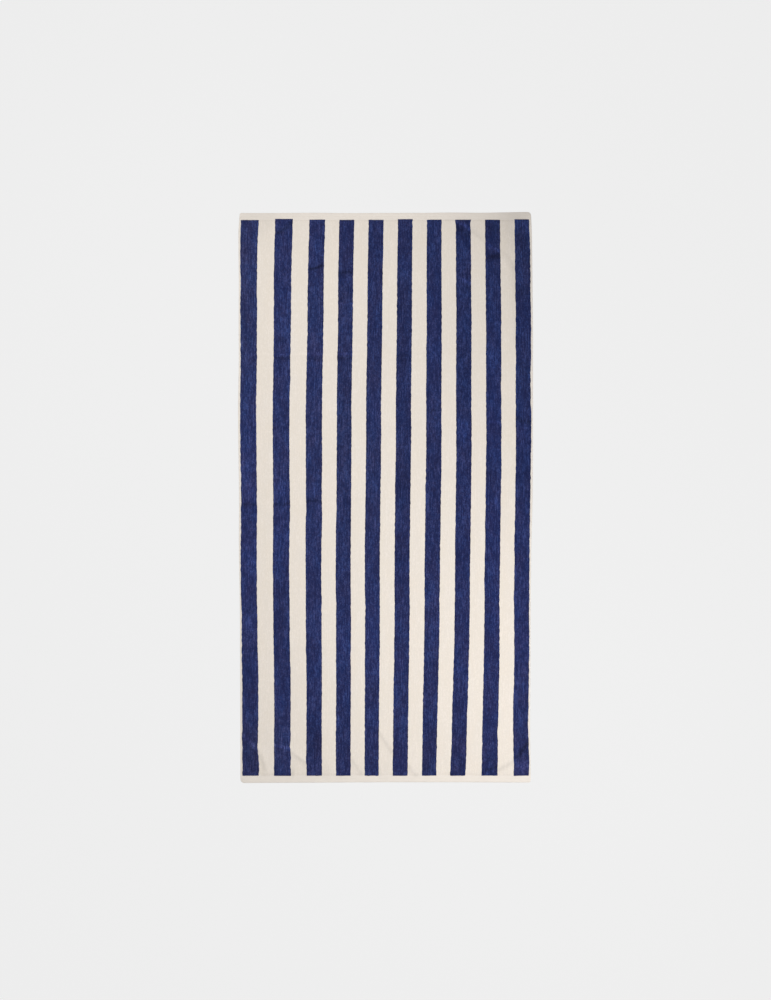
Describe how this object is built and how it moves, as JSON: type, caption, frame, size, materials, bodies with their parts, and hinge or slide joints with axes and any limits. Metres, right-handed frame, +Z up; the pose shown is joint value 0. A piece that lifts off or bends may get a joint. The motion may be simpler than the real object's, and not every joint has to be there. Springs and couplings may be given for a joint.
{
  "type": "beach towel",
  "caption": "Large rectangular terry beach towel lying spread out flat, with lengthwise stripes, plain-woven hems at both ends, narrow stitched side hems and soft press folds.",
  "frame": {"origin": "centre of the underside of the towel as it lies spread out, on the surface that it rests on", "axes": "X runs across the towel along its width, Y runs along its length towards the head hem, and Z points up from the surface through the face"},
  "size_m": [0.9047, 1.7509, 0.0054],
  "materials": {
    "towel_cotton": "undyed cotton ground cloth and hems, plain woven, matt",
    "velour_navy": "sheared navy cotton pile, matt, with faint lengthwise streaks",
    "velour_cream": "sheared cream cotton pile, matt",
    "sewing_thread": "cream sewing thread, slightly glossy"
  },
  "bodies": {
    "root": {"towel": "towel_cotton"}
  },
  "joints": []
}
